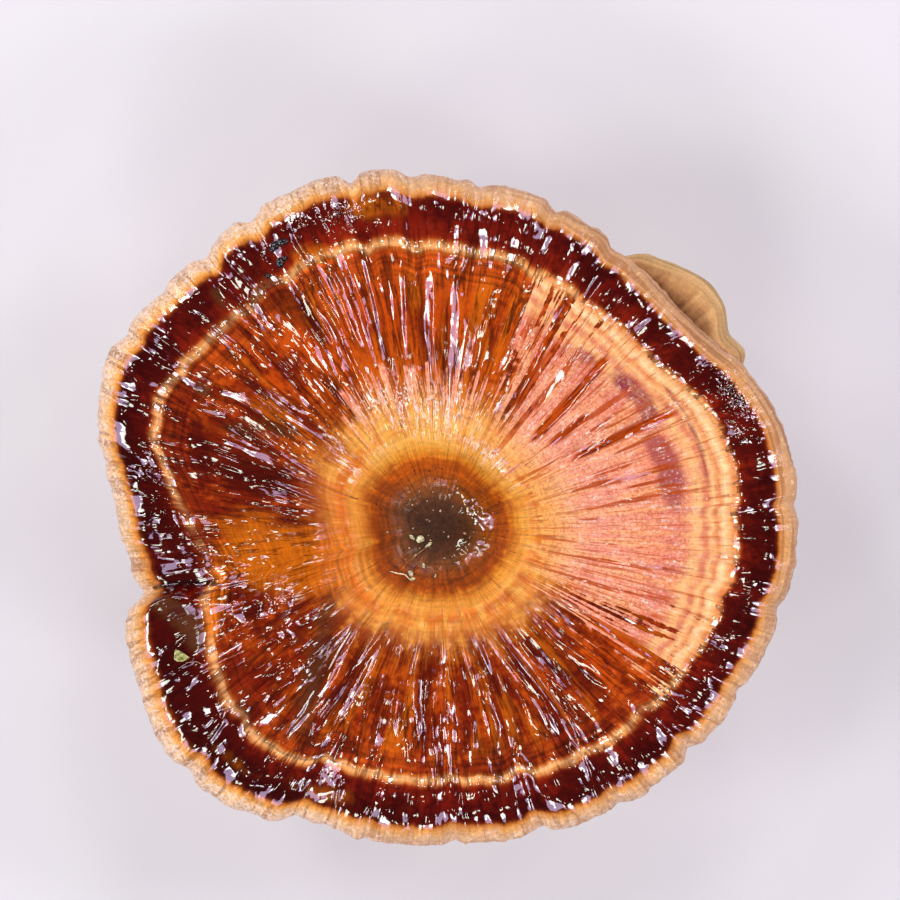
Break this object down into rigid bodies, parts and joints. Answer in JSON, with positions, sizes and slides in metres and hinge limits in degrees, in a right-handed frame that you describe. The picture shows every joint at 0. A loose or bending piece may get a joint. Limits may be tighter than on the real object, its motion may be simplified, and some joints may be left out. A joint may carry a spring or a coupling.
{
  "type": "reishi mushroom",
  "caption": "Varnished bracket mushroom with a wide, shallow, funnel-shaped cap and a pale rolled margin, on a short woody stem that is cut off flat and stands on the cut.",
  "frame": {"origin": "centre of the stem's flat cut face, which the mushroom stands on", "axes": "+Z is up, through the middle of the cap. Seen from above with +Y up and +X to the right, the cap lies as it does in the picture."},
  "size_m": [0.1542, 0.1485, 0.0767],
  "materials": {
    "cap_crust": "wet-looking natural varnish over a woody fungus body, in chestnut and orange zones with a cream margin",
    "stem_crust": "dark chestnut natural varnish over a woody fungus body, with a pale fibrous cut face"
  },
  "bodies": {
    "root": {"cap": "cap_crust", "stem": "stem_crust"}
  },
  "joints": []
}
